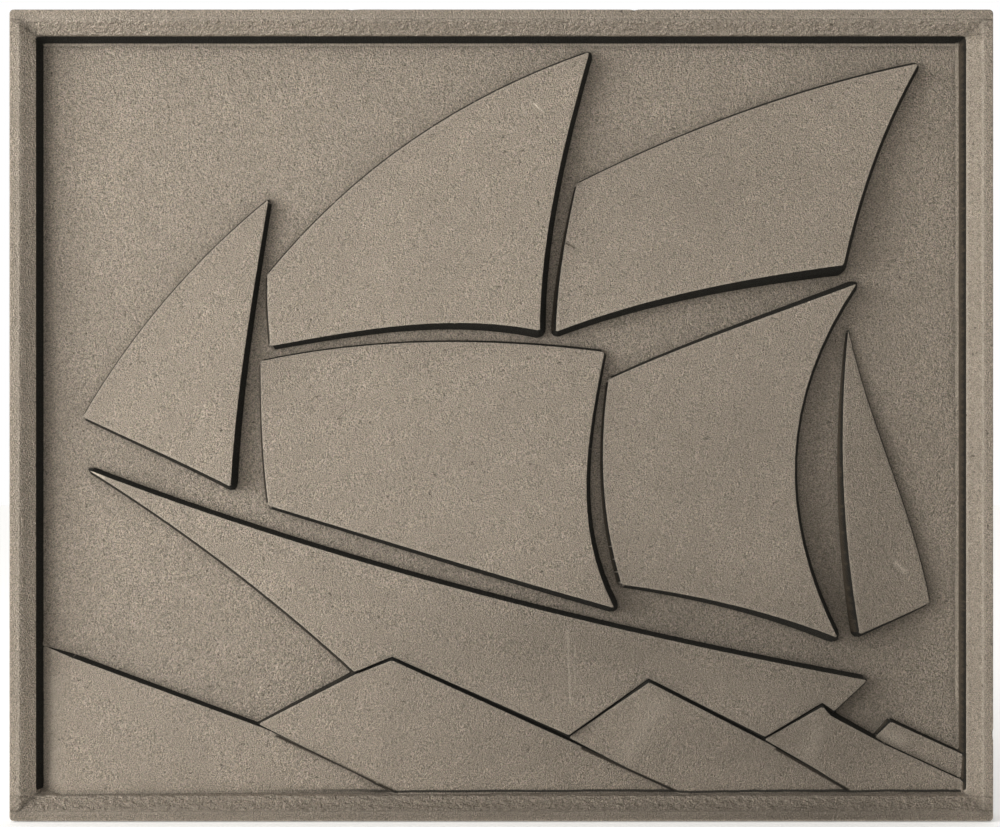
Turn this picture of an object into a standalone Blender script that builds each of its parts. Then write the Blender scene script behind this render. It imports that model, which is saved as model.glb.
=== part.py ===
"""Cast-iron fireback: a framed plate with a ship under sail over faceted waves.

The plate stands upright. +X is the viewer's right, +Z is up, the flat back lies in
the plane Y = 0 and the relief faces -Y. The origin is the centre of the back.
Frame and relief are cast with the plate in one piece, so there is one object.
"""

import bmesh
import bpy
from mathutils import Vector

MM = 0.001

# Plate
PLATE_WIDTH = 0.600
PLATE_HEIGHT = 0.495
FIELD_THICKNESS = 0.010
OUTER_DRAFT = 0.02
OUTER_EDGE_RADIUS = 0.0013

# Frame: a flat strip round the outside, a slope inwards, then a steep inner wall
STRIP_WIDTH = 0.0063
SLOPE_WIDTH = 0.0088
SLOPE_FALL = 0.0050
WALL_HEIGHT = 0.0070

# Relief: sideways run of a wall for each unit of its height, how far a pointed foot
# may run out past its corner for each unit of that run, the groove between the hull
# and the waves, how deep the forms reach into the slab, and how far each side of a
# sharp corner is cut back to round it
RELIEF_DRAFT = 0.35
MITRE_LIMIT = 1.3
GROOVE_WIDTH = 0.0020
ROOT_DEPTH = 0.4 * FIELD_THICKNESS
CORNER_CUT = 0.0016
CORNER_STEPS = 4
SIDE_STEPS = 16

# The ship and the waves are drawn on a field of this size, and follow the real one
DRAWN_FIELD_WIDTH = 571.4 * MM
DRAWN_FIELD_HEIGHT = 466.0 * MM

FIELD_WIDTH = PLATE_WIDTH - 2 * (STRIP_WIDTH + SLOPE_WIDTH)
FIELD_HEIGHT = PLATE_HEIGHT - 2 * (STRIP_WIDTH + SLOPE_WIDTH)
SCALE_X = FIELD_WIDTH / DRAWN_FIELD_WIDTH
SCALE_Z = FIELD_HEIGHT / DRAWN_FIELD_HEIGHT

# Lines on the drawing, in millimetres, where the waves run out under the frame
WALL_OVERLAP = 1.8
FRAME_RIGHT = DRAWN_FIELD_WIDTH / MM / 2 + WALL_OVERLAP
FRAME_LEFT = -FRAME_RIGHT
FRAME_FOOT = -DRAWN_FIELD_HEIGHT / MM / 2

# Each sail: its corners clockwise from the left (x, z), the two handles of the side
# that leaves each corner (how far its thirds are pulled outwards from the chord), and
# the rise of its flat face above the field at the first three corners. Millimetres.
SAILS = {
    "jib": {
        "corners": ((-257.6, -0.8), (-143.4, 133.0), (-166.0, -43.7)),
        "handles": ((10.8, 10.8), (-1.8, -4.6), (-1.0, 0.1)),
        "rises": (5.0, 5.0, 8.4),
    },
    "topsail_left": {
        "corners": ((-144.0, 86.8), (54.2, 223.2), (23.6, 51.8), (-142.2, 42.7)),
        "handles": ((23.5, 22.8), (-5.7, -10.0), (-14.3, -6.8), (0.4, 1.5)),
        "rises": (4.4, 7.4, 11.2),
    },
    "topsail_right": {
        "corners": ((46.7, 143.1), (256.3, 216.1), (208.7, 91.5), (33.5, 51.3)),
        "handles": ((9.4, 10.8), (-7.1, -6.1), (-5.8, -8.3), (3.5, 2.4)),
        "rises": (2.8, 7.8, 13.4),
    },
    "mainsail_left": {
        "corners": ((-148.7, 33.6), (63.6, 39.1), (69.1, -117.8), (-143.1, -55.3)),
        "handles": ((13.1, 10.9), (-12.4, -24.8), (1.4, 0.4), (2.5, 1.4)),
        "rises": (2.8, 5.0, 11.0),
    },
    "mainsail_right": {
        "corners": ((66.3, 22.3), (217.7, 80.6), (205.0, -135.7), (74.0, -103.9)),
        "handles": ((3.3, 0.5), (-42.8, -40.8), (-6.0, -4.9), (9.9, 8.8)),
        "rises": (3.4, 9.4, 13.2),
    },
    "spanker": {
        "corners": ((219.6, -134.1), (214.3, 53.3), (263.9, -115.2)),
        "handles": ((8.6, 8.7), (-4.8, 6.6), (0.4, 0.2)),
        "rises": (9.6, 2.6, 5.2),
    },
}

# The hull: its bow tip, stern and heel, the handles of its sheer and stem, and the
# rise of its flat side at the bow, the stern and the foot of the stem. Millimetres.
HULL_BOW = (-254.0, -33.4)
HULL_STERN = (225.0, -162.8)
HULL_HEEL = (204.6, -181.5)
HULL_SHEER_HANDLES = (-16.9, -12.9)
HULL_STEM_HANDLES = (-6.4, -6.3)
HULL_RISES = (6.4, 6.6, 8.8)

# Each wave: its rim clockwise from the left (x, z, rise above the field). Millimetres.
# Each one starts close to the end of the one before; the last runs in behind its neighbour.
WAVES = {
    "wave_1": (
        (FRAME_LEFT, -140.7, -0.8), (-264.0, -149.2, 5.2), (-146.0, -192.8, 4.3),
        (-60.0, FRAME_FOOT, 3.1), (-269.1, FRAME_FOOT, 6.8), (FRAME_LEFT, FRAME_FOOT, -1.4),
    ),
    "wave_2": (
        (-149.8, -190.0, 4.3), (-90.0, -159.3, 6.0), (-66.9, -149.9, 10.7),
        (43.2, -200.8, 5.9), (114.0, FRAME_FOOT, 3.0), (-63.5, FRAME_FOOT, 6.6),
        (-76.5, -226.4, 7.3), (-98.7, -215.2, 5.8),
    ),
    "wave_3": (
        (41.4, -198.0, 5.6), (90.6, -163.4, 10.5), (164.2, -201.6, 6.0),
        (220.0, FRAME_FOOT, 2.7), (112.0, FRAME_FOOT, 6.2), (77.0, -216.0, 8.5),
    ),
    "wave_4": (
        (161.9, -199.2, 5.9), (197.2, -178.4, 8.8), (201.9, -184.1, 8.3),
        (236.0, -202.4, 5.8), (FRAME_RIGHT, -226.3, 3.6), (FRAME_RIGHT, FRAME_FOOT, 3.0),
        (217.6, FRAME_FOOT, 4.8), (194.4, -217.7, 7.2),
    ),
    "wave_5": (
        (229.5, -199.5, 3.4), (239.9, -188.4, 4.8), (FRAME_RIGHT, -210.2, 3.2),
        (FRAME_RIGHT, FRAME_FOOT, 0.9), (246.0, -214.0, 2.6),
    ),
}

# The rim points of each wave that its creases join, its first point being "a"
WAVE_CREASES = {
    "wave_1": ("be",),
    "wave_2": ("bh", "cg"),
    "wave_3": ("bf",),
    "wave_4": ("bh",),
    "wave_5": ("be",),
}


def new_collection(name):
    collection = bpy.data.collections.new(name)
    bpy.context.scene.collection.children.link(collection)
    return collection


def cast_iron_material():
    """Grey-brown cast iron with a soft metallic sheen."""
    material = bpy.data.materials.new("cast_iron")
    material.use_nodes = True
    shader = material.node_tree.nodes["Principled BSDF"]
    shader.inputs["Base Color"].default_value = (0.30, 0.265, 0.22, 1.0)
    shader.inputs["Metallic"].default_value = 0.75
    shader.inputs["Roughness"].default_value = 0.55
    return material


def step_face(bm, face, half_width, half_height, y):
    """Extrude a rectangular face and set its new edges at a size and a depth."""
    grown = bmesh.ops.extrude_face_region(bm, geom=[face])
    bmesh.ops.delete(bm, geom=[face], context="FACES_KEEP_BOUNDARY")
    new_face = next(item for item in grown["geom"] if isinstance(item, bmesh.types.BMFace))
    for vert in new_face.verts:
        vert.co.x = half_width if vert.co.x > 0 else -half_width
        vert.co.z = half_height if vert.co.z > 0 else -half_height
        vert.co.y = y
    return new_face


def build_plate(collection, material):
    """The slab with its mitred frame, stepped down from the strip to the field."""
    front = FIELD_THICKNESS + WALL_HEIGHT + SLOPE_FALL
    half_width = PLATE_WIDTH / 2
    half_height = PLATE_HEIGHT / 2
    bm = bmesh.new()
    bmesh.ops.create_cube(bm, size=1.0)
    for vert in bm.verts:
        # The sides draw in towards the front, as a casting leaves its mould
        inset = OUTER_DRAFT * front if vert.co.y < 0 else 0.0
        vert.co.x = (half_width - inset) * (1 if vert.co.x > 0 else -1)
        vert.co.z = (half_height - inset) * (1 if vert.co.z > 0 else -1)
        vert.co.y = -front if vert.co.y < 0 else 0.0
    face = min(bm.faces, key=lambda item: item.calc_center_median().y)
    rim_edges = list(face.edges)
    corner_edges = [edge for edge in bm.edges if abs(edge.verts[0].co.y - edge.verts[1].co.y) > front / 2]
    steps = (
        (STRIP_WIDTH, front),
        (STRIP_WIDTH + SLOPE_WIDTH, FIELD_THICKNESS + WALL_HEIGHT),
        (STRIP_WIDTH + SLOPE_WIDTH + RELIEF_DRAFT * WALL_HEIGHT, FIELD_THICKNESS),
    )
    for inset, depth in steps:
        face = step_face(bm, face, half_width - inset, half_height - inset, -depth)
    bmesh.ops.bevel(
        bm, geom=rim_edges + corner_edges, offset=OUTER_EDGE_RADIUS, segments=3,
        profile=0.5, affect="EDGES", clamp_overlap=True,
    )
    bmesh.ops.recalc_face_normals(bm, faces=bm.faces)
    mesh = bpy.data.meshes.new("fireback_plate")
    bm.to_mesh(mesh)
    bm.free()
    mesh.materials.append(material)
    plate = bpy.data.objects.new("fireback_plate", mesh)
    collection.objects.link(plate)
    return plate


def on_field(x, z):
    """A point of the drawing, in millimetres, as a place on the real field in metres."""
    return Vector((x * MM * SCALE_X, z * MM * SCALE_Z))


def side_curve(start, end, handles, t):
    """A point of a cubic side whose thirds stand out from the chord by two handles."""
    chord = end - start
    outward = Vector((-chord.y, chord.x)).normalized()
    bend = 3 * t * (1 - t) * (handles[0] * (1 - t) + handles[1] * t)
    return start + chord * t + outward * bend * MM


def curved_outline(corners, handles):
    """The points of a closed outline whose sides between the corners are curved."""
    outline = []
    for index, start in enumerate(corners):
        end = corners[(index + 1) % len(corners)]
        for step in range(SIDE_STEPS):
            outline.append(side_curve(start, end, handles[index], step / SIDE_STEPS))
    return outline


def soften(outline, corners):
    """The outline with a short curve in place of each point that is a corner."""
    result = []
    for index, point in enumerate(outline):
        if point not in corners:
            result.append(point)
            continue
        before = outline[index - 1]
        after = outline[(index + 1) % len(outline)]
        start = point + (before - point).normalized() * CORNER_CUT
        end = point + (after - point).normalized() * CORNER_CUT
        for step in range(CORNER_STEPS + 1):
            t = step / CORNER_STEPS
            result.append(start * (1 - t) ** 2 + point * 2 * t * (1 - t) + end * t ** 2)
    return result


def flat_rises(outline, corners, rises):
    """The rise of each outline point on the plane through three corners' rises."""
    first = corners[1] - corners[0]
    second = corners[2] - corners[0]
    area = first.cross(second)
    result = []
    for point in outline:
        offset = point - corners[0]
        a = offset.cross(second) / area
        b = first.cross(offset) / area
        result.append(rises[0] + a * (rises[1] - rises[0]) + b * (rises[2] - rises[0]))
    return result


def outward_steps(outline):
    """For each point of a clockwise outline, the mitred step of a unit outward offset."""
    steps = []
    for index, point in enumerate(outline):
        before = (point - outline[index - 1]).normalized()
        after = (outline[(index + 1) % len(outline)] - point).normalized()
        normals = Vector((-before.y, before.x)) + Vector((-after.y, after.x))
        step = normals * 2 / max(normals.length_squared, 0.001)
        if step.length > MITRE_LIMIT:
            step = step.normalized() * MITRE_LIMIT
        steps.append(step)
    return steps


def build_raised_form(name, outline, rises, creases, collection):
    """A solid with the given rim that widens downwards by the draft, to below the field."""
    bm = bmesh.new()
    rim = []
    foot = []
    for point, rise, step in zip(outline, rises, outward_steps(outline)):
        low = point + step * RELIEF_DRAFT * (rise + ROOT_DEPTH)
        rim.append(bm.verts.new((point.x, -FIELD_THICKNESS - rise, point.y)))
        foot.append(bm.verts.new((low.x, -FIELD_THICKNESS + ROOT_DEPTH, low.y)))
    for index in range(len(rim)):
        following = (index + 1) % len(rim)
        bm.faces.new((rim[index], foot[index], foot[following], rim[following]))
    bm.faces.new(rim)
    bm.faces.new(list(reversed(foot)))
    for crease in creases:
        bmesh.ops.connect_verts(bm, verts=[rim[ord(letter) - ord("a")] for letter in crease])
    if creases:
        facets = [face for face in bm.faces if all(vert in rim for vert in face.verts)]
        bmesh.ops.triangulate(bm, faces=facets)
    bmesh.ops.recalc_face_normals(bm, faces=bm.faces)
    mesh = bpy.data.meshes.new(name)
    bm.to_mesh(mesh)
    bm.free()
    form = bpy.data.objects.new(name, mesh)
    form.hide_render = True
    form.display_type = "WIRE"
    collection.objects.link(form)
    return form


def build_sail(name, shape, collection):
    corners = [on_field(x, z) for x, z in shape["corners"]]
    outline = soften(curved_outline(corners, shape["handles"]), corners)
    rises = flat_rises(outline, corners, [rise * MM for rise in shape["rises"]])
    return build_raised_form(name, outline, rises, (), collection)


def build_wave(name, rim, collection):
    outline = [on_field(x, z) for x, z, rise in rim]
    rises = [rise * MM for x, z, rise in rim]
    return build_raised_form(name, outline, rises, WAVE_CREASES[name], collection)


def wave_crest(name, index):
    """A rim point of a wave, moved up by the groove between the wave and the hull."""
    x, z, rise = WAVES[name][index]
    return on_field(x, z) + Vector((0.0, GROOVE_WIDTH))


def build_hull(collection):
    """The hull: a hollow sheer and stem, cut off below along the crests of the waves."""
    bow = on_field(*HULL_BOW)
    stern = on_field(*HULL_STERN)
    waterline = [
        on_field(*HULL_HEEL), wave_crest("wave_4", 1), wave_crest("wave_4", 0),
        wave_crest("wave_3", 1), wave_crest("wave_3", 0), wave_crest("wave_2", 2),
    ]
    stem_foot = wave_crest("wave_2", 1)
    sheer_steps = 2 * SIDE_STEPS
    outline = []
    for step in range(sheer_steps + 1):
        outline.append(side_curve(bow, stern, HULL_SHEER_HANDLES, step / sheer_steps))
    outline.extend(waterline)
    for step in range(SIDE_STEPS):
        outline.append(side_curve(stem_foot, bow, HULL_STEM_HANDLES, step / SIDE_STEPS))
    outline = soften(outline, (bow, stern))
    rises = flat_rises(outline, (bow, stern, stem_foot), [rise * MM for rise in HULL_RISES])
    return build_raised_form("hull", outline, rises, (), collection)


def main():
    for obj in list(bpy.data.objects):
        bpy.data.objects.remove(obj, do_unlink=True)
    parts = new_collection("fireback")
    forms = new_collection("relief_forms")
    plate = build_plate(parts, cast_iron_material())
    relief = [build_hull(forms)]
    for name, shape in SAILS.items():
        relief.append(build_sail(name, shape, forms))
    for name, rim in WAVES.items():
        relief.append(build_wave(name, rim, forms))
    for form in relief:
        join = plate.modifiers.new(form.name, "BOOLEAN")
        join.operation = "UNION"
        join.solver = "EXACT"
        join.object = form


main()
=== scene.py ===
"""The looks of a cast-iron fireback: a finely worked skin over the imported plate."""

import math

import bmesh
import bpy
import numpy as np
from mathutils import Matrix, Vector, noise
from mathutils.bvhtree import BVHTree
from mathutils.geometry import delaunay_2d_cdt
from mathutils.kdtree import KDTree


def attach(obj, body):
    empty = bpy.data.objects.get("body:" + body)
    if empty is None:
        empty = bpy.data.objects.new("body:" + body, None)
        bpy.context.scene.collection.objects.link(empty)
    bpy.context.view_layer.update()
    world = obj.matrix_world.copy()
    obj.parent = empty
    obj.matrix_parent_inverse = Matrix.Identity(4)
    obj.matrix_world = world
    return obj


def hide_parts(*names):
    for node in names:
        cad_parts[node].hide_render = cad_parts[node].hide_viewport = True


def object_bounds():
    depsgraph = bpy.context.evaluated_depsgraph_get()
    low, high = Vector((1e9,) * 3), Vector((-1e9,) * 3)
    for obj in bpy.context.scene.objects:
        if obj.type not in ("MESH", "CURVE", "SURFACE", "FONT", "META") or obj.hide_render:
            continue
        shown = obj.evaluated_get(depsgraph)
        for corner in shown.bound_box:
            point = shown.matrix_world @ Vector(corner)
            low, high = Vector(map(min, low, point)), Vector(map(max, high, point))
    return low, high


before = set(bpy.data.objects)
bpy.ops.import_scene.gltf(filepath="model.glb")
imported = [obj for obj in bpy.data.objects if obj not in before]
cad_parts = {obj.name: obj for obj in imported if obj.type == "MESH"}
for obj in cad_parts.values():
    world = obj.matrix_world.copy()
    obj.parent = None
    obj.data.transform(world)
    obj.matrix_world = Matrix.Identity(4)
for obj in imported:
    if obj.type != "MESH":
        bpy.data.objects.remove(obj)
cad_low, cad_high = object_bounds()
cad_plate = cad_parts["fireback_plate"]

MM = 0.001

# Where the plate lies, in millimetres
LEFT, RIGHT = cad_low.x / MM, cad_high.x / MM
BOTTOM, TOP = cad_low.z / MM, cad_high.z / MM
HALF_WIDTH = (RIGHT - LEFT) / 2
HALF_HEIGHT = (TOP - BOTTOM) / 2
HALF_DEPTH = (cad_high.y - cad_low.y) / MM / 2

# Fineness of the skin, in millimetres
GRID_STEP = 2.4
GRID_CLEARANCE = 1.1
GRID_MARGIN = 2.6
EDGE_STEP = 2.6
BACK_STEP = 6.5
ARRIS_RADIUS = 0.25
SOFTENED_REACH = 2.0
CLEARANCE_STEP = 0.25
RELIEF_MARGIN = 0.9
BACK_CLEARANCE = 1.0
SHORTEST_RAIL = 0.3
RAIL_CLEARANCE = ARRIS_RADIUS * 0.8
WELD_DISTANCE = 0.004
MERGE_DISTANCE = 0.01
RAY_START = -200.0

# Places closer than these count as one: on an outline, on a rail beside it and in a mark
OUTLINE_GRID = 0.01
RAIL_GRID = 0.05
MARK_GRID = 0.1

# The distance between the grid's rows and its random shifts, as shares of its step, the
# seed of those shifts, and how many samples soften an arris
ROW_SHARE = 0.9
GRID_JITTER = 0.22
GRID_SEED = 7
SOFTENING_SAMPLES = 8

# A bend above the first angle is an edge, above the second an arris or a root. Rails are
# mitred where the cosine of their turn is above the last value
SHARP_ANGLE = math.radians(1.6)
ARRIS_ANGLE = math.radians(25)
MITRE_COSINE = 0.5

# The share of its steepness that the frame's lower wall counts with, so that it is drawn less black than
# the other walls, which stay black
LOWER_WALL_SHARE = 0.44

# The plate's outer edge: its sizes in millimetres, and how many points and rings it has
OUTER_ARRIS = 1.4
BACK_ARRIS = 0.9
CORNER_RADIUS = 2.6
SMALLEST_RADIUS = 0.35
CORNER_POINTS = 5
ARRIS_RINGS = 4
SIDE_RINGS = 5
PERIMETER_STEP = 2.6
SIDE_ROUGHNESS = 0.05
SIDE_ROUGH_SIZE = 7.0

# Unevenness of the casting, in millimetres
SWELL_HEIGHT = 0.16
SWELL_SIZE = 110.0
RIPPLE_HEIGHT = 0.05
RIPPLE_SIZE = 14.0
GRAIN_HEIGHT = 0.035
GRAIN_SIZE = 2.6
LUMP_HEIGHT = 0.11
LUMP_SIZE = 4.5
LUMP_DEPTH = 14.0
BACK_LEVEL = -0.12
BACK_RIPPLE = 0.1
BACK_RIPPLE_SIZE = 12.0

# How far from an arris the metal is rubbed and gets its painted highlight, and how far from a root the
# painted crease shade reaches
EDGE_WEAR_AND_SHEEN_REACH = 1.2
CREASE_SHADE_REACH = 1.6

# How far from the plate's edges the walls of the frame have their feet, and where that is
# from the plate's middle, in metres
WALL_FOOT = 17.6
WALL_CLEARANCE = 0.3
FOOT_X = (HALF_WIDTH - WALL_FOOT) * MM
FOOT_Z = (HALF_HEIGHT - WALL_FOOT) * MM

# Height at which the first wave meets the frame's left wall
WATER_LEFT = -141.0

# Scratches, dents and pits, painted shade lines along the lower edges of the waves, and soft painted
# gleams: their two ends (x, z), half their width and their depth in millimetres, and how pale (above 0)
# or dark (below 0) they are
MARKS = (
    ((17.2, 193.1), (26.3, 185.4), 0.5, 0.10, 0.45),
    ((20.5, 190.9), (23.5, 186.9), 0.35, 0.08, 0.35),
    ((38.2, 107.0), (45.3, 102.9), 0.6, 0.30, -0.75),
    ((40.6, -131.6), (42.2, -176.6), 0.7, 0.04, 0.32),
    ((44.8, -140.0), (45.2, -168.0), 0.5, 0.03, 0.20),
    ((241.6, -90.0), (247.6, -95.6), 1.3, 0.12, 0.45),
    ((-250.4, -34.5), (-243.6, -38.2), 0.9, 0.20, 0.75),
    ((-138.0, -196.8), (-64.0, -231.0), 0.9, 0.05, -1.3),
    ((50.0, -204.2), (107.0, -230.4), 1.0, 0.05, -1.7),
    ((169.0, -204.5), (213.0, -230.0), 1.0, 0.05, -1.7),
    ((-276.0, -165.0), (-276.0, -222.0), 6.5, 0.0, 0.22),
    ((289.3, -228.0), (289.3, 228.0), 3.6, 0.0, 0.20),
    ((95.0, -177.0), (78.0, -206.0), 6.5, 0.0, 0.17),
    ((194.0, -192.0), (188.0, -207.0), 6.0, 0.0, 0.13),
    ((236.0, -195.5), (245.0, -199.5), 4.5, 0.0, 0.30),
    ((-180.8, -167.2), (-180.0, -167.5), 0.9, 0.35, -0.6),
    ((16.5, -204.8), (17.3, -204.6), 0.9, 0.35, -0.6),
    ((-267.2, 114.3), (-266.5, 113.9), 0.8, 0.35, -0.6),
    ((-219.5, -35.7), (-218.8, -35.9), 0.8, 0.30, -0.5),
    ((-197.8, -34.4), (-197.2, -34.6), 0.8, 0.30, -0.5),
    ((-130.4, 40.2), (-129.6, 40.2), 1.1, 0.20, -0.35),
)

# How close together a mark's points lie, and how far to its sides, in half widths of it,
# and the strength below which it is left out
MARK_STEP = 1.5
MARK_OFFSETS = (-1.6, -0.8, 0.0, 0.8, 1.6)
MARK_FAINTEST = 0.02

# Nicks in the plate's outer edge: place (x, z), reach and depth in millimetres
NICKS = ((-90.5, 247.0, 2.6, 0.5), (81.5, 247.0, 2.8, 0.5), (300.0, -194.5, 3.0, 0.6))

# How near a side a nick has to be to cut it, in millimetres, how far it is felt, in
# reaches, how quickly it fades, and its push backwards as a share of that inwards
NICK_MARGIN = 5
NICK_LIMIT = 1.5
NICK_FADE = 4
NICK_BACKWARD = 0.7

# Painted shade, where the rubbed metal is drawn darker because of how the light falls on it: centre (x,
# z), reach across and up in millimetres, and strength
SHADE_PATCHES = (
    (236.0, -50.0, 40.0, 120.0, 0.26),
    (70.0, -140.0, 130.0, 45.0, 0.33),
    (215.0, -165.0, 70.0, 60.0, 0.23),
    (230.0, -215.0, 80.0, 40.0, 0.10),
    (140.0, -40.0, 90.0, 90.0, 0.20),
    (150.0, 140.0, 80.0, 60.0, 0.14),
    (110.0, -207.0, 120.0, 28.0, 0.22),
    (10.0, -215.0, 80.0, 30.0, 0.08),
    (-291.0, 0.0, 5.5, 300.0, 0.20),
    (0.0, 240.0, 420.0, 8.0, 0.16),
    (0.0, -242.0, 420.0, 8.5, 0.42),
    (200.0, -246.0, 110.0, 7.0, 0.16),
)


def wavy(x, z, size, seed):
    """Smooth noise from about -1 to 1 that changes over the size; the seed picks a pattern."""
    return noise.noise(Vector((x / size, seed, z / size)))


class CadSurface:
    """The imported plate, asked for its front height at a place, in millimetres."""

    def __init__(self, obj):
        bm = bmesh.new()
        bm.from_mesh(obj.data)
        bmesh.ops.scale(bm, vec=Vector((1 / MM,) * 3), verts=bm.verts)
        bmesh.ops.remove_doubles(bm, verts=bm.verts, dist=WELD_DISTANCE)
        bm.normal_update()
        self.tree = BVHTree.FromBMesh(bm)
        self.convex = []
        self.concave = []
        self.sharp = []
        inside = self.edges_inside(bm)
        for edge in inside:
            angle = edge.calc_face_angle_signed(0.0)
            if abs(angle) < SHARP_ANGLE:
                continue
            ends = [(vert.co.x, vert.co.z) for vert in edge.verts]
            self.sharp.append(ends)
            if angle > ARRIS_ANGLE:
                self.convex.append(ends)
            elif angle < -ARRIS_ANGLE:
                self.concave.append(ends)
        bm.free()

    @staticmethod
    def edges_inside(bm):
        """The edges on the front that lie well inside the plate's outer edge."""
        limit_x = HALF_WIDTH - OUTER_ARRIS - RELIEF_MARGIN
        limit_z = HALF_HEIGHT - OUTER_ARRIS - RELIEF_MARGIN
        result = []
        for edge in bm.edges:
            if len(edge.link_faces) != 2:
                continue
            places = [vert.co for vert in edge.verts]
            within = all(abs(co.x) < limit_x and abs(co.z) < limit_z for co in places)
            if within and all(co.y < -BACK_CLEARANCE for co in places):
                result.append(edge)
        return result

    def front(self, x, z):
        """The front's y, how squarely it faces the viewer (0 edge-on, 1 flat), and how far left."""
        hit, normal, *_ = self.tree.ray_cast(Vector((x, RAY_START, z)), Vector((0, 1, 0)))
        if hit is None:
            return None
        return hit.y, -normal.y, max(-normal.x, 0.0)


def cut_edge(ends, step=EDGE_STEP):
    """Points along an edge, no farther apart than the step."""
    (x0, z0), (x1, z1) = ends
    count = max(1, math.ceil(math.hypot(x1 - x0, z1 - z0) / step))
    return [(x0 + (x1 - x0) * i / count, z0 + (z1 - z0) * i / count) for i in range(count + 1)]


def rounded_rectangle(inset):
    """Points round the plate at an inset from its outer size, clockwise from the top left."""
    radius = max(CORNER_RADIUS - inset, SMALLEST_RADIUS)
    half_x = HALF_WIDTH - inset
    half_z = HALF_HEIGHT - inset
    centre_x = half_x - radius
    centre_z = half_z - radius
    along_x = round(2 * HALF_WIDTH / PERIMETER_STEP)
    along_z = round(2 * HALF_HEIGHT / PERIMETER_STEP)
    points = []
    sides = (
        (-centre_x, centre_z, 2 * centre_x, 0, along_x, 90),
        (centre_x, centre_z, 0, -2 * centre_z, along_z, 0),
        (centre_x, -centre_z, -2 * centre_x, 0, along_x, -90),
        (-centre_x, -centre_z, 0, 2 * centre_z, along_z, 180),
    )
    for start_x, start_z, run_x, run_z, count, facing in sides:
        out = math.radians(facing)
        for i in range(count + 1):
            x = start_x + run_x * i / count + radius * math.cos(out)
            z = start_z + run_z * i / count + radius * math.sin(out)
            points.append((x, z))
        for i in range(1, CORNER_POINTS):
            turn = out - math.pi / 2 * i / CORNER_POINTS
            corner_x = start_x + run_x + radius * math.cos(turn)
            corner_z = start_z + run_z + radius * math.sin(turn)
            points.append((corner_x, corner_z))
    return points


def point_tree(points):
    """A search tree over places (x, z)."""
    tree = KDTree(len(points))
    for i, point in enumerate(points):
        tree.insert((point[0], point[1], 0.0), i)
    tree.balance()
    return tree


def edge_tree(edges, step=EDGE_STEP):
    """A search tree over points along edges, no farther apart than the step."""
    return point_tree([point for ends in edges for point in cut_edge(ends, step)])


def triangulate(loop, inner_points, inner_edges, step, clearance):
    """A triangulation inside a loop that keeps the given points and edges."""
    points = [Vector(p) for p in loop]
    edges = [(i, (i + 1) % len(loop)) for i in range(len(loop))]
    base = len(points)
    points.extend(Vector(p) for p in inner_points)
    edges.extend((a + base, b + base) for a, b in inner_edges)
    taken = point_tree(points)
    rows = math.floor(2 * HALF_HEIGHT / (step * ROW_SHARE))
    columns = math.floor(2 * HALF_WIDTH / step)
    generator = np.random.default_rng(GRID_SEED)
    jitter = generator.uniform(-GRID_JITTER, GRID_JITTER, (rows, columns, 2)) * step
    for row in range(rows):
        for column in range(columns):
            shift = 0.5 if row % 2 else 0.0
            x = -HALF_WIDTH + (column + 0.25 + shift) * 2 * HALF_WIDTH / columns + jitter[row, column, 0]
            z = -HALF_HEIGHT + (row + 0.5) * 2 * HALF_HEIGHT / rows + jitter[row, column, 1]
            if abs(x) > HALF_WIDTH - GRID_MARGIN or abs(z) > HALF_HEIGHT - GRID_MARGIN:
                continue
            if taken.find((x, z, 0.0))[2] > clearance:
                points.append(Vector((x, z)))
    result = delaunay_2d_cdt(points, edges, [], 0, MERGE_DISTANCE)
    return result[0], result[2]


def front_points(surface):
    """The relief's outlines as points and edges, with rails beside them, and the marks' points."""
    index_of = {}
    points = []
    edges = set()

    def index(point, grid=OUTLINE_GRID):
        key = (round(point[0] / grid), round(point[1] / grid))
        if key not in index_of:
            index_of[key] = len(points)
            points.append(point)
        return index_of[key]

    for ends in surface.sharp:
        run = cut_edge(ends)
        for a, b in zip(run, run[1:]):
            i, j = index(a), index(b)
            if i != j:
                edges.add((min(i, j), max(i, j)))

    outline_edges = sorted(edges)
    normals = {}
    for i, j in outline_edges:
        along = Vector(points[j]) - Vector(points[i])
        if along.length > 0:
            side = Vector((-along.y, along.x)).normalized()
            normals.setdefault(i, []).append(side)
            normals.setdefault(j, []).append(side)
    near = edge_tree(surface.sharp, CLEARANCE_STEP)

    def rail_point(i, side, sign):
        """A point beside an outline point, mitred where just two edges meet there."""
        met = normals[i]
        out = side
        if len(met) == 2:
            other = met[0] if met[1] == side else met[1]
            turned = other if other.dot(side) > 0 else -other
            if turned.dot(side) > MITRE_COSINE:
                out = (side + turned) / (1 + side.dot(turned))
        place = Vector(points[i]) + out * sign * ARRIS_RADIUS
        return (place.x, place.y)

    for i, j in outline_edges:
        along = Vector(points[j]) - Vector(points[i])
        if along.length < SHORTEST_RAIL:
            continue
        side = Vector((-along.y, along.x)).normalized()
        for sign in (1, -1):
            start = rail_point(i, side, sign)
            end = rail_point(j, side, sign)
            middle = ((start[0] + end[0]) / 2, (start[1] + end[1]) / 2)
            free = min(near.find((*spot, 0.0))[2] for spot in (start, middle, end))
            if free < RAIL_CLEARANCE:
                continue
            k, m = index(start, RAIL_GRID), index(end, RAIL_GRID)
            if k != m:
                edges.add((min(k, m), max(k, m)))
    for point in mark_points():
        if near.find((*point, 0.0))[2] > ARRIS_RADIUS:
            index(point, MARK_GRID)
    return points, sorted(edges)


def softened_front(surface, x, z, near_edge):
    """What the front says of a place, with its arrises and roots rounded a little."""
    here = surface.front(x, z)
    if not near_edge:
        return here
    found_all = [here]
    for i in range(SOFTENING_SAMPLES):
        angle = math.tau * i / SOFTENING_SAMPLES
        found = surface.front(x + ARRIS_RADIUS * math.cos(angle), z + ARRIS_RADIUS * math.sin(angle))
        if found:
            found_all.append(found)
    return [sum(values) / len(values) for values in zip(*found_all)]


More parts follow.
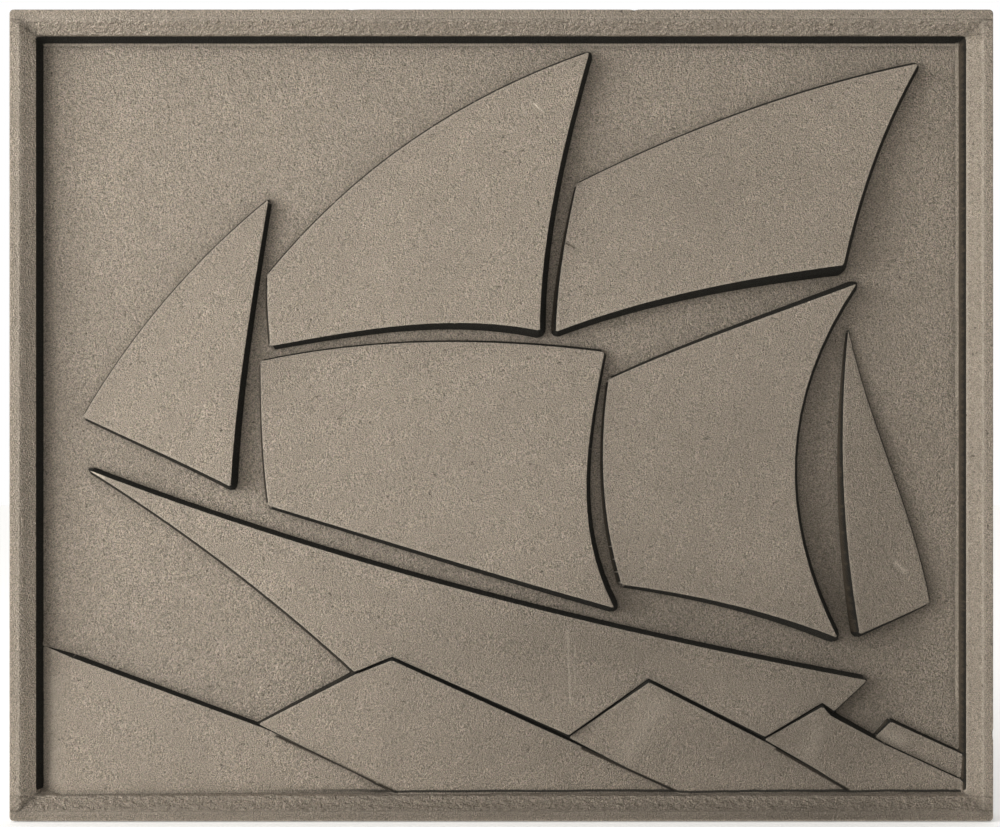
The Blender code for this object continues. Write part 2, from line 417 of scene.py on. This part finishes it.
def mark_distance(mark, x, z):
    """How far a place is from the middle line of a mark, in half widths of it."""
    start = Vector(mark[0])
    along = Vector(mark[1]) - start
    reach = Vector((x, z)) - start
    t = min(max(reach.dot(along) / along.length_squared, 0.0), 1.0)
    return (reach - along * t).length / mark[2]


def mark_points():
    """Points close together on and beside each mark, so that the skin can follow it."""
    points = []
    for start, end, half_width, *_ in MARKS:
        along = Vector(end) - Vector(start)
        side = Vector((-along.y, along.x)).normalized()
        ahead = along.normalized()
        count = max(1, round(along.length / (half_width * MARK_STEP)))
        for i in range(-1, count + 2):
            middle = Vector(start) + along * min(max(i / count, 0.0), 1.0)
            if i in (-1, count + 1):
                middle += ahead * half_width * (1 if i > 0 else -1)
            for offset in MARK_OFFSETS:
                place = middle + side * half_width * offset
                points.append((place.x, place.y))
    return points


def marked(x, z):
    """How deep the marks go at a place, and how pale or dark they leave it."""
    depth = 0.0
    pale = 0.0
    for mark in MARKS:
        weight = math.exp(-(mark_distance(mark, x, z) ** 2))
        if weight > MARK_FAINTEST:
            depth += mark[3] * weight
            pale += mark[4] * weight
    return depth, pale


def painted_shade_at(x, z):
    """How much painted shade darkens the rubbed metal at a place."""
    total = 0.0
    for centre_x, centre_z, reach_x, reach_z, strength in SHADE_PATCHES:
        away = ((x - centre_x) / reach_x) ** 2 + ((z - centre_z) / reach_z) ** 2
        total += strength * math.exp(-away)
    return total


def unevenness(x, z):
    """How far the cast skin stands out from the drawn form, in millimetres."""
    swell = SWELL_HEIGHT * wavy(x, z, SWELL_SIZE, 1.3)
    ripple = RIPPLE_HEIGHT * wavy(x, z, RIPPLE_SIZE, 5.7)
    grain = GRAIN_HEIGHT * wavy(x, z, GRAIN_SIZE, 9.1)
    lumps = 0.0
    if abs(z) > HALF_HEIGHT - LUMP_DEPTH:
        lumps = LUMP_HEIGHT * wavy(x, z, LUMP_SIZE, 2.2)
    return swell + ripple + grain + lumps - marked(x, z)[0]


def nicked(x, y, z):
    """A place, pushed in and back where a nick in the outer edge is near."""
    for nick_x, nick_z, reach, depth in NICKS:
        away = math.hypot(x - nick_x, z - nick_z) / reach
        if away < NICK_LIMIT:
            push = depth * math.exp(-NICK_FADE * away ** 2)
            x -= math.copysign(push, nick_x) if abs(nick_x) > HALF_WIDTH - NICK_MARGIN else 0.0
            z -= math.copysign(push, nick_z) if abs(nick_z) > HALF_HEIGHT - NICK_MARGIN else 0.0
            y += push * NICK_BACKWARD if y < -HALF_DEPTH else 0.0
    return x, y, z


class Skin:
    """The skin's points and faces, and what the material has to know at each point."""

    # How steep the surface is, how near an arris for wear and painted highlight, how near a root for
    # painted crease shade, how far it faces the light on the left for painted light, how much painted
    # shade or duller metal it has, and how pale or dark its marks and painted light leave it
    VALUES = ("steep", "worn", "soot", "brown", "dull", "pale")

    def __init__(self):
        self.verts = []
        self.polygons = []
        self.values = {name: [] for name in self.VALUES}

    def add(self, place, **values):
        """Adds a point, in millimetres. A value that is not given is 0."""
        for name in self.VALUES:
            self.values[name].append(values.get(name, 0.0))
        self.verts.append(place)
        return len(self.verts) - 1

    def join(self, ring, next_ring):
        """Adds a row of four-sided faces between two rings of points."""
        for i in range(len(ring)):
            j = (i + 1) % len(ring)
            self.polygons.append((ring[i], ring[j], next_ring[j], next_ring[i]))


def loop_indices(flat, loop):
    """Which points of a triangulation are those of the loop round it."""
    index_of = {(round(p.x, 2), round(p.y, 2)): i for i, p in enumerate(flat)}
    return [index_of[(round(x, 2), round(z, 2))] for x, z in loop]


def add_front(skin, surface):
    """Adds the relief side and returns the ring of points round it."""
    inner_points, inner_edges = front_points(surface)
    loop = rounded_rectangle(OUTER_ARRIS)
    flat, faces = triangulate(loop, inner_points, inner_edges, GRID_STEP, GRID_CLEARANCE)
    sharp = edge_tree(surface.sharp)
    convex = edge_tree(surface.convex)
    concave = edge_tree(surface.concave)
    for p in flat:
        place = (p.x, p.y, 0.0)
        near_edge = sharp.find(place)[2] < SOFTENED_REACH
        y, facing, leftward = softened_front(surface, p.x, p.y, near_edge)
        on_lower_wall = p.y < WALL_FOOT - HALF_HEIGHT + WALL_CLEARANCE
        skin.add(
            nicked(p.x, y - unevenness(p.x, p.y), p.y),
            steep=(1.0 - facing) * (LOWER_WALL_SHARE if on_lower_wall else 1.0),
            worn=max(0.0, 1.0 - convex.find(place)[2] / EDGE_WEAR_AND_SHEEN_REACH),
            soot=math.exp(-concave.find(place)[2] / CREASE_SHADE_REACH),
            brown=leftward,
            dull=painted_shade_at(p.x, p.y),
            pale=marked(p.x, p.y)[1],
        )
    skin.polygons.extend(tuple(face) for face in faces)
    return loop_indices(flat, loop)


def edge_profile(front_y):
    """The outer edge as pairs of inset and y, from the front's ring to the back's."""
    profile = []
    for i in range(1, ARRIS_RINGS + 1):
        angle = math.pi / 2 * i / ARRIS_RINGS
        inset = OUTER_ARRIS * (1 - math.sin(angle))
        profile.append((inset, front_y + OUTER_ARRIS * (1 - math.cos(angle))))
    side_start = front_y + OUTER_ARRIS
    side_end = -BACK_ARRIS
    for i in range(1, SIDE_RINGS):
        profile.append((0.0, side_start + (side_end - side_start) * i / SIDE_RINGS))
    for i in range(ARRIS_RINGS):
        angle = math.pi / 2 * i / ARRIS_RINGS
        inset = BACK_ARRIS * (1 - math.cos(angle))
        profile.append((inset, side_end + BACK_ARRIS * math.sin(angle)))
    return profile


def add_side(skin, ring):
    """Adds the outer edge behind the front's ring and returns its last ring."""
    front_y = min(skin.verts[i][1] for i in ring)
    for inset, y in edge_profile(front_y):
        next_ring = []
        for x, z in rounded_rectangle(inset):
            rough = wavy(x + y * 0.8, z + y * 0.6, SIDE_ROUGH_SIZE, 3.3)
            rough = SIDE_ROUGHNESS * rough - SIDE_ROUGHNESS
            scale_x = 1 + rough / HALF_WIDTH
            scale_z = 1 + rough / HALF_HEIGHT
            place = nicked(x * scale_x, y, z * scale_z)
            next_ring.append(skin.add(place, steep=0.25, worn=0.3, dull=0.1))
        skin.join(ring, next_ring)
        ring = next_ring
    return ring


def add_back(skin, ring):
    """Adds the flat back inside the last ring of the outer edge."""
    loop = rounded_rectangle(BACK_ARRIS)
    flat, faces = triangulate(loop, [], [], BACK_STEP, BACK_STEP / 2)
    start = len(skin.verts)
    for p in flat:
        y = BACK_LEVEL + BACK_RIPPLE * wavy(p.x, p.y, BACK_RIPPLE_SIZE, 6.1)
        skin.add((p.x, y, p.y), steep=0.3, dull=0.15)
    skin.join(ring, [start + i for i in loop_indices(flat, loop)])
    skin.polygons.extend(tuple(start + i for i in reversed(face)) for face in faces)


def build_casting():
    """The whole skin as one object, with its values stored on its points."""
    skin = Skin()
    ring = add_front(skin, CadSurface(cad_plate))
    ring = add_side(skin, ring)
    add_back(skin, ring)
    mesh = bpy.data.meshes.new("fireback_casting")
    mesh.from_pydata([(x * MM, y * MM, z * MM) for x, y, z in skin.verts], [], skin.polygons)
    for name, values in skin.values.items():
        attribute = mesh.attributes.new(name, "FLOAT", "POINT")
        attribute.data.foreach_set("value", np.array(values, np.float32))
    bm = bmesh.new()
    bm.from_mesh(mesh)
    bmesh.ops.recalc_face_normals(bm, faces=bm.faces)
    bm.to_mesh(mesh)
    bm.free()
    mesh.shade_smooth()
    casting = bpy.data.objects.new("fireback_casting", mesh)
    bpy.context.scene.collection.objects.link(casting)
    return casting


# The colours of the iron with its painted highlights and painted shade, and of the black on its walls
# with painted light at the foot of those that face left
METAL_LOW = (0.115, 0.096, 0.073, 1)
METAL_HIGH = (0.57, 0.494, 0.402, 1)
METAL_FINE = (0.42, 0.362, 0.292, 1)
METAL_CLOUDED = (0.26, 0.222, 0.176, 1)
METAL_STAINED = (0.25, 0.216, 0.178, 1)
METAL_RUBBED_AND_LIT = (0.62, 0.545, 0.452, 1)
METAL_GLEAM = (0.72, 0.635, 0.52, 1)
METAL_FOOT_HIGHLIGHT = (0.60, 0.52, 0.42, 1)
METAL_PITS_AND_SHADE = (0.045, 0.037, 0.028, 1)
BLACK = (0.011, 0.010, 0.007, 1)
BLACK_LIT = (0.052, 0.040, 0.027, 1)


class Nodes:
    """A short way to write the node tree of a material or of the world."""

    def __init__(self, owner):
        owner.use_nodes = True
        self.tree = owner.node_tree

    def add(self, kind, inputs=None, **settings):
        node = self.tree.nodes.new(kind)
        for key, value in settings.items():
            setattr(node, key, value)
        for key, value in (inputs or {}).items():
            self.put(node.inputs[key], value)
        return node

    def put(self, socket, value):
        if isinstance(value, bpy.types.NodeSocket):
            self.tree.links.new(value, socket)
        else:
            socket.default_value = value

    def noise(self, vector, scale, detail=3.0, roughness=0.55):
        inputs = {"Vector": vector, "Scale": scale, "Detail": detail, "Roughness": roughness}
        return self.add("ShaderNodeTexNoise", inputs)

    def math(self, operation, a, b=0.0):
        return self.add("ShaderNodeMath", {0: a, 1: b}, operation=operation).outputs[0]

    def remap(self, value, low, high, to_low, to_high, smooth=False):
        kind = "SMOOTHSTEP" if smooth else "LINEAR"
        inputs = {"Value": value, "From Min": low, "From Max": high, "To Min": to_low, "To Max": to_high}
        return self.add("ShaderNodeMapRange", inputs, interpolation_type=kind).outputs[0]

    def mix(self, factor, a, b, blend="MIX"):
        node = self.add("ShaderNodeMix", data_type="RGBA", blend_type=blend)
        self.put(node.inputs[0], factor)
        self.put(node.inputs[6], a)
        self.put(node.inputs[7], b)
        return node.outputs[2]


def on_front(n, split):
    """1 on the relief side of the plate and 0 on its back."""
    return n.math("LESS_THAN", split.outputs["Y"], -HALF_DEPTH / 2 * MM)


def frame_shade(n, place, uneven):
    """Painted shadow that lies on the field along the feet of the frame's walls, widest on the left,
    where the left wall keeps the light off the field.
    """
    split = n.add("ShaderNodeSeparateXYZ", {0: place})
    drift = n.remap(uneven, 0.3, 0.7, -1.2 * MM, 1.2 * MM)
    x = n.math("ADD", split.outputs["X"], drift)
    z = n.math("ADD", split.outputs["Z"], drift)
    left = n.remap(x, -FOOT_X, -FOOT_X + 5.0 * MM, 0.36, 0.0, True)
    left = n.math("MULTIPLY", left, n.math("GREATER_THAN", z, WATER_LEFT * MM))
    right = n.remap(x, FOOT_X - 6.5 * MM, FOOT_X, 0.0, 0.30, True)
    top = n.remap(z, FOOT_Z - 4.5 * MM, FOOT_Z - 1.0 * MM, 0.0, 0.36, True)
    shade = n.math("MAXIMUM", n.math("MAXIMUM", left, right), top)
    inside_x = n.math("LESS_THAN", n.math("ABSOLUTE", split.outputs["X"]), FOOT_X + 0.2 * MM)
    inside_z = n.math("LESS_THAN", n.math("ABSOLUTE", split.outputs["Z"]), FOOT_Z + 0.2 * MM)
    inside = n.math("MULTIPLY", n.math("MULTIPLY", inside_x, inside_z), on_front(n, split))
    return n.math("MULTIPLY", shade, inside)


def frame_lumps(n, place):
    """Coarser sand marks on the slopes at the top and the bottom of the frame."""
    split = n.add("ShaderNodeSeparateXYZ", {0: place})
    height = n.math("ABSOLUTE", split.outputs["Z"])
    slope = band(n, height, (HALF_HEIGHT - 15.0) * MM, (HALF_HEIGHT - 6.5) * MM, 0.8 * MM)
    slope = n.math("MULTIPLY", slope, on_front(n, split))
    stretched = n.add("ShaderNodeVectorMath", {0: place, 1: (0.6, 1.0, 1.0)}, operation="MULTIPLY")
    lumps = n.noise(stretched.outputs[0], 420.0, 2.0, 0.5)
    return n.math("MULTIPLY", n.math("MULTIPLY", lumps.outputs["Fac"], slope), 2.2)


def band(n, value, low, high, soft):
    """1 between two values, falling to 0 outside them over the soft width."""
    up = n.remap(value, low - soft, low + soft, 0.0, 1.0, True)
    down = n.remap(value, high - soft, high + soft, 1.0, 0.0, True)
    return n.math("MULTIPLY", up, down)


def frame_lines(n, place, uneven):
    """Painted highlights along the feet of the right and top walls, where light catches the rounded
    foot, and a black line along the foot of the lower wall.
    """
    split = n.add("ShaderNodeSeparateXYZ", {0: place})
    drift = n.remap(uneven, 0.3, 0.7, -0.35 * MM, 0.35 * MM)
    x = n.math("ADD", split.outputs["X"], drift)
    z = n.math("ADD", split.outputs["Z"], drift)
    broken = n.remap(uneven, 0.35, 0.6, 0.15, 0.5)
    right = band(n, x, FOOT_X - 1.9 * MM, FOOT_X + 0.2 * MM, 0.3 * MM)
    top = band(n, z, FOOT_Z - 1.5 * MM, FOOT_Z - 0.1 * MM, 0.3 * MM)
    inside_x = n.math("LESS_THAN", n.math("ABSOLUTE", split.outputs["X"]), FOOT_X + 0.3 * MM)
    inside_z = n.math("LESS_THAN", n.math("ABSOLUTE", split.outputs["Z"]), FOOT_Z + 0.3 * MM)
    inside_x = n.math("MULTIPLY", inside_x, on_front(n, split))
    inside = n.math("MULTIPLY", inside_x, inside_z)
    bright = n.math("MULTIPLY", n.math("MULTIPLY", n.math("MAXIMUM", right, top), broken), inside)
    low = band(n, z, -FOOT_Z - 1.5 * MM, -FOOT_Z + 0.1 * MM, 0.3 * MM)
    grown = n.remap(split.outputs["X"], -0.180, -0.060, 0.0, 0.92)
    black = n.math("MULTIPLY", n.math("MULTIPLY", low, inside_x), grown)
    return bright, black


def rubbed_metal(n, stored, speckle, fine, grain, cloud, stain):
    """The colour of the bare iron, with rubbed wear and painted highlights on its arrises and its
    painted shade, before the black of the walls.
    """
    metal = n.mix(n.remap(speckle.outputs["Fac"], 0.32, 0.68, 0.0, 1.0), METAL_LOW, METAL_HIGH)
    metal = n.mix(n.remap(fine.outputs["Fac"], 0.35, 0.68, 0.0, 0.28), metal, METAL_FINE)
    tint = n.mix(0.2, metal, speckle.outputs["Color"], "OVERLAY")
    metal = n.mix(n.remap(cloud.outputs["Fac"], 0.3, 0.7, 0.0, 0.3), tint, METAL_CLOUDED)
    metal = n.mix(n.remap(stain.outputs["Fac"], 0.35, 0.65, 0.0, 0.2), metal, METAL_STAINED)
    # Arrises are rubbed and get a painted highlight, a stronger painted highlight where they face the
    # light on the left
    lit_left_edge = n.math("MULTIPLY", stored["worn"], stored["brown"])
    rubbed_and_lit_edge = n.math("ADD", n.math("MULTIPLY", stored["worn"], 0.22), lit_left_edge)
    metal = n.mix(rubbed_and_lit_edge, metal, METAL_RUBBED_AND_LIT)
    # Bright scratches and painted gleams lighten the metal
    metal = n.mix(n.remap(stored["pale"], 0.0, 1.0, 0.0, 1.0), metal, METAL_GLEAM)
    pits = n.remap(grain.outputs["Fac"], 0.27, 0.35, 0.6, 0.0)
    dark_marks_and_shade_lines = n.remap(stored["pale"], -1.0, 0.0, 1.0, 0.0)
    # Pits, dark marks and painted shade darken the metal; the sides and back are drawn duller
    pits_and_shade = n.math("MAXIMUM", n.math("ADD", pits, dark_marks_and_shade_lines), stored["dull"])
    return n.mix(pits_and_shade, metal, METAL_PITS_AND_SHADE)


def wall_black(n, stored):
    """The colour of the walls: black, with painted light at the foot of those that face the light on the
    left.
    """
    # Walls that face the light on the left get painted light at their foot
    leftward = n.remap(stored["brown"], 0.3, 0.8, 0.0, 1.0)
    lit_foot = n.math("MULTIPLY", leftward, n.remap(stored["worn"], 0.05, 0.6, 1.0, 0.0))
    return n.mix(lit_foot, BLACK, BLACK_LIT)


def cast_iron():
    """Rubbed iron with black walls, painted shade in creases and along the frame's walls, and painted
    highlights on arrises and wall feet, all of it from noise and from the skin's values.
    """
    material = bpy.data.materials.new("cast_iron_rubbed")
    n = Nodes(material)
    shader = n.tree.nodes["Principled BSDF"]
    place = n.add("ShaderNodeTexCoord").outputs["Object"]
    stored = {}
    for name in Skin.VALUES:
        stored[name] = n.add("ShaderNodeAttribute", attribute_name=name).outputs["Fac"]
    speckle = n.noise(place, 1450.0, 2.0, 0.6)
    fine = n.noise(place, 760.0, 3.0, 0.6)
    grain = n.noise(place, 380.0, 3.0, 0.5)
    cloud = n.noise(place, 42.0, 4.0, 0.55)
    stain = n.noise(place, 9.0, 3.0, 0.5)
    metal = rubbed_metal(n, stored, speckle, fine, grain, cloud, stain)

    wall = n.remap(stored["steep"], 0.22, 0.42, 0.0, 1.0, True)
    # Painted crease shade: the metal is darkened near the roots of the relief
    root = n.math("MULTIPLY", stored["soot"], 0.35)
    # Painted shadow of the frame's walls on the field beside them
    shade = frame_shade(n, place, cloud.outputs["Fac"])
    foot_highlight, black_line = frame_lines(n, place, cloud.outputs["Fac"])
    dark = n.math("MAXIMUM", n.math("MAXIMUM", wall, root), shade)
    dark = n.math("MAXIMUM", dark, black_line)
    dark = n.math("MULTIPLY", dark, n.math("SUBTRACT", 1.0, n.math("MULTIPLY", foot_highlight, 0.5)))
    # Painted highlights along the feet of the right and top walls
    metal = n.mix(foot_highlight, metal, METAL_FOOT_HIGHLIGHT)
    n.put(shader.inputs["Base Color"], n.mix(dark, metal, wall_black(n, stored)))
    n.put(shader.inputs["Metallic"], n.remap(dark, 0.0, 1.0, 0.82, 0.1))
    rough = n.remap(fine.outputs["Fac"], 0.3, 0.7, 0.42, 0.60)
    rough = n.math("SUBTRACT", rough, n.math("MULTIPLY", stored["worn"], 0.08))
    rough = n.math("ADD", rough, n.math("MULTIPLY", dark, 0.22))
    n.put(shader.inputs["Roughness"], rough)
    n.put(shader.inputs["Specular IOR Level"], 0.25)

    height = n.math("MULTIPLY", speckle.outputs["Fac"], 1.1)
    height = n.math("ADD", height, n.math("MULTIPLY", fine.outputs["Fac"], 0.6))
    height = n.math("ADD", height, n.math("MULTIPLY", grain.outputs["Fac"], 0.35))
    height = n.math("ADD", height, frame_lumps(n, place))
    bump = n.add("ShaderNodeBump", {"Strength": 1.0, "Distance": 0.0013, "Height": height})
    n.put(shader.inputs["Normal"], bump.outputs[0])
    return material


# The floor: its size and its gap below the plate in metres, its colour and its own glow
FLOOR_SIZE = 12.0
FLOOR_GAP = 0.0005
FLOOR_COLOUR = (0.93, 0.93, 0.92, 1)
FLOOR_GLOW = 0.20


def pale_floor(name, colour):
    material = bpy.data.materials.new(name)
    n = Nodes(material)
    shader = n.tree.nodes["Principled BSDF"]
    n.put(shader.inputs["Base Color"], colour)
    n.put(shader.inputs["Roughness"], 0.9)
    n.put(shader.inputs["Emission Color"], colour)
    n.put(shader.inputs["Emission Strength"], FLOOR_GLOW)
    return material


def build_floor():
    place = (0.0, 0.0, cad_low.z - FLOOR_GAP)
    bpy.ops.mesh.primitive_plane_add(size=FLOOR_SIZE, location=place)
    floor = bpy.context.active_object
    floor.name = "floor"
    floor.data.materials.append(pale_floor("floor_pale", FLOOR_COLOUR))


# The photograph: its size and, in its pixels, the point straight in front of the lens, a
# small shift that lines the picture up, the plate's middle and the length of the lens
PHOTO_WIDTH = 1000
PHOTO_HEIGHT = 827
PHOTO_CENTRE = (490.0, 460.0)
PHOTO_OFFSET = (0.45, 0.45)
PLATE_CENTRE = (500.75, 415.4)
LENS_PIXELS = 1400.0

# How far the field stands before the plate's back, and a pixel's size on it, in metres
FIELD_DEPTH = 0.010
PIXEL_SIZE = 0.6176 * MM

# The studio's brightness and colour as the plate sees it, and its soft key light
STUDIO_LEFT = 1.66
STUDIO_RIGHT = 0.38
STUDIO_FAR_RIGHT = 0.30
STUDIO_FAR_LEFT = 2.1
STUDIO_BACK = 0.8
STUDIO_HIGH = 0.60
STUDIO_SHADE = 0.50
STUDIO_SHADE_DIRECTION = Vector((0.30, -1.0, -0.32)).normalized()
STUDIO_COLOUR = (1.0, 0.985, 0.965, 1)
KEY_POWER = 31
KEY_PLACE = (-1.9, -0.95, 0.25)
KEY_SIZE = (1.0, 1.0)


def build_camera():
    data = bpy.data.cameras.new("camera")
    data.sensor_width = 36.0
    data.lens = data.sensor_width * LENS_PIXELS / PHOTO_WIDTH
    data.shift_x = (PHOTO_WIDTH / 2 - PHOTO_CENTRE[0] - PHOTO_OFFSET[0]) / PHOTO_WIDTH
    data.shift_y = (PHOTO_CENTRE[1] + PHOTO_OFFSET[1] - PHOTO_HEIGHT / 2) / PHOTO_WIDTH
    camera = bpy.data.objects.new("camera", data)
    camera.location = (
        (PHOTO_CENTRE[0] - PLATE_CENTRE[0]) * PIXEL_SIZE,
        -FIELD_DEPTH - LENS_PIXELS * PIXEL_SIZE,
        (PLATE_CENTRE[1] - PHOTO_CENTRE[1]) * PIXEL_SIZE,
    )
    camera.rotation_euler = (math.pi / 2, 0.0, 0.0)
    bpy.context.scene.collection.objects.link(camera)
    bpy.context.scene.camera = camera


def area_light(name, place, target, size, power):
    data = bpy.data.lights.new(name, "AREA")
    data.shape = "RECTANGLE"
    data.size, data.size_y = size
    data.energy = power
    light = bpy.data.objects.new(name, data)
    light.location = place
    light.rotation_euler = (Vector(target) - Vector(place)).to_track_quat("-Z", "Y").to_euler()
    bpy.context.scene.collection.objects.link(light)


def studio_level(n, direction):
    """How bright the studio is in a direction, as the plate sees it."""
    split = n.add("ShaderNodeSeparateXYZ", {0: direction})
    level = n.remap(split.outputs["X"], -0.30, 0.22, STUDIO_LEFT, STUDIO_RIGHT, True)
    both = {0: direction, 1: STUDIO_SHADE_DIRECTION}
    toward_shade = n.add("ShaderNodeVectorMath", both, operation="DOT_PRODUCT").outputs["Value"]
    shade = n.remap(toward_shade, 0.86, 0.99, 1.0, STUDIO_SHADE, True)
    far_left = n.remap(split.outputs["X"], -0.90, -0.50, STUDIO_FAR_LEFT, 1.0, True)
    far_right = n.remap(split.outputs["X"], 0.35, 0.85, 1.0, STUDIO_FAR_RIGHT, True)
    high = n.remap(split.outputs["Z"], 0.45, 0.90, 1.0, STUDIO_HIGH, True)
    for factor in (shade, far_left, far_right, high):
        level = n.math("MULTIPLY", level, factor)
    behind = n.remap(split.outputs["Y"], -0.30, 0.05, 0.0, 1.0, True)
    mixed = {0: behind, 2: level, 3: STUDIO_BACK}
    return n.add("ShaderNodeMix", mixed, data_type="FLOAT").outputs[0]


def build_light():
    """A white studio that is brighter on the left, seen from the plate, and a soft key light."""
    scene = bpy.context.scene
    scene.view_settings.view_transform = "Standard"
    scene.world = bpy.data.worlds.new("studio")
    n = Nodes(scene.world)
    direction = n.add("ShaderNodeTexCoord").outputs["Generated"]
    background = n.tree.nodes["Background"]
    n.put(background.inputs["Color"], STUDIO_COLOUR)
    n.put(background.inputs["Strength"], studio_level(n, direction))
    # The camera sees a plain white backdrop from any side
    backdrop = n.add("ShaderNodeBackground", {"Color": (1, 1, 1, 1), "Strength": 1.0})
    seen = n.add("ShaderNodeLightPath").outputs["Is Camera Ray"]
    blend = n.add("ShaderNodeMixShader", {0: seen, 1: background.outputs[0], 2: backdrop.outputs[0]})
    n.put(n.tree.nodes["World Output"].inputs["Surface"], blend.outputs[0])
    area_light("key", KEY_PLACE, (0, 0, 0), KEY_SIZE, KEY_POWER)


casting = build_casting()
casting.data.materials.append(cast_iron())
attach(casting, "root")
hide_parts("fireback_plate")
build_floor()
build_camera()
build_light()

print("triangles", sum(len(p.vertices) - 2 for p in casting.data.polygons))
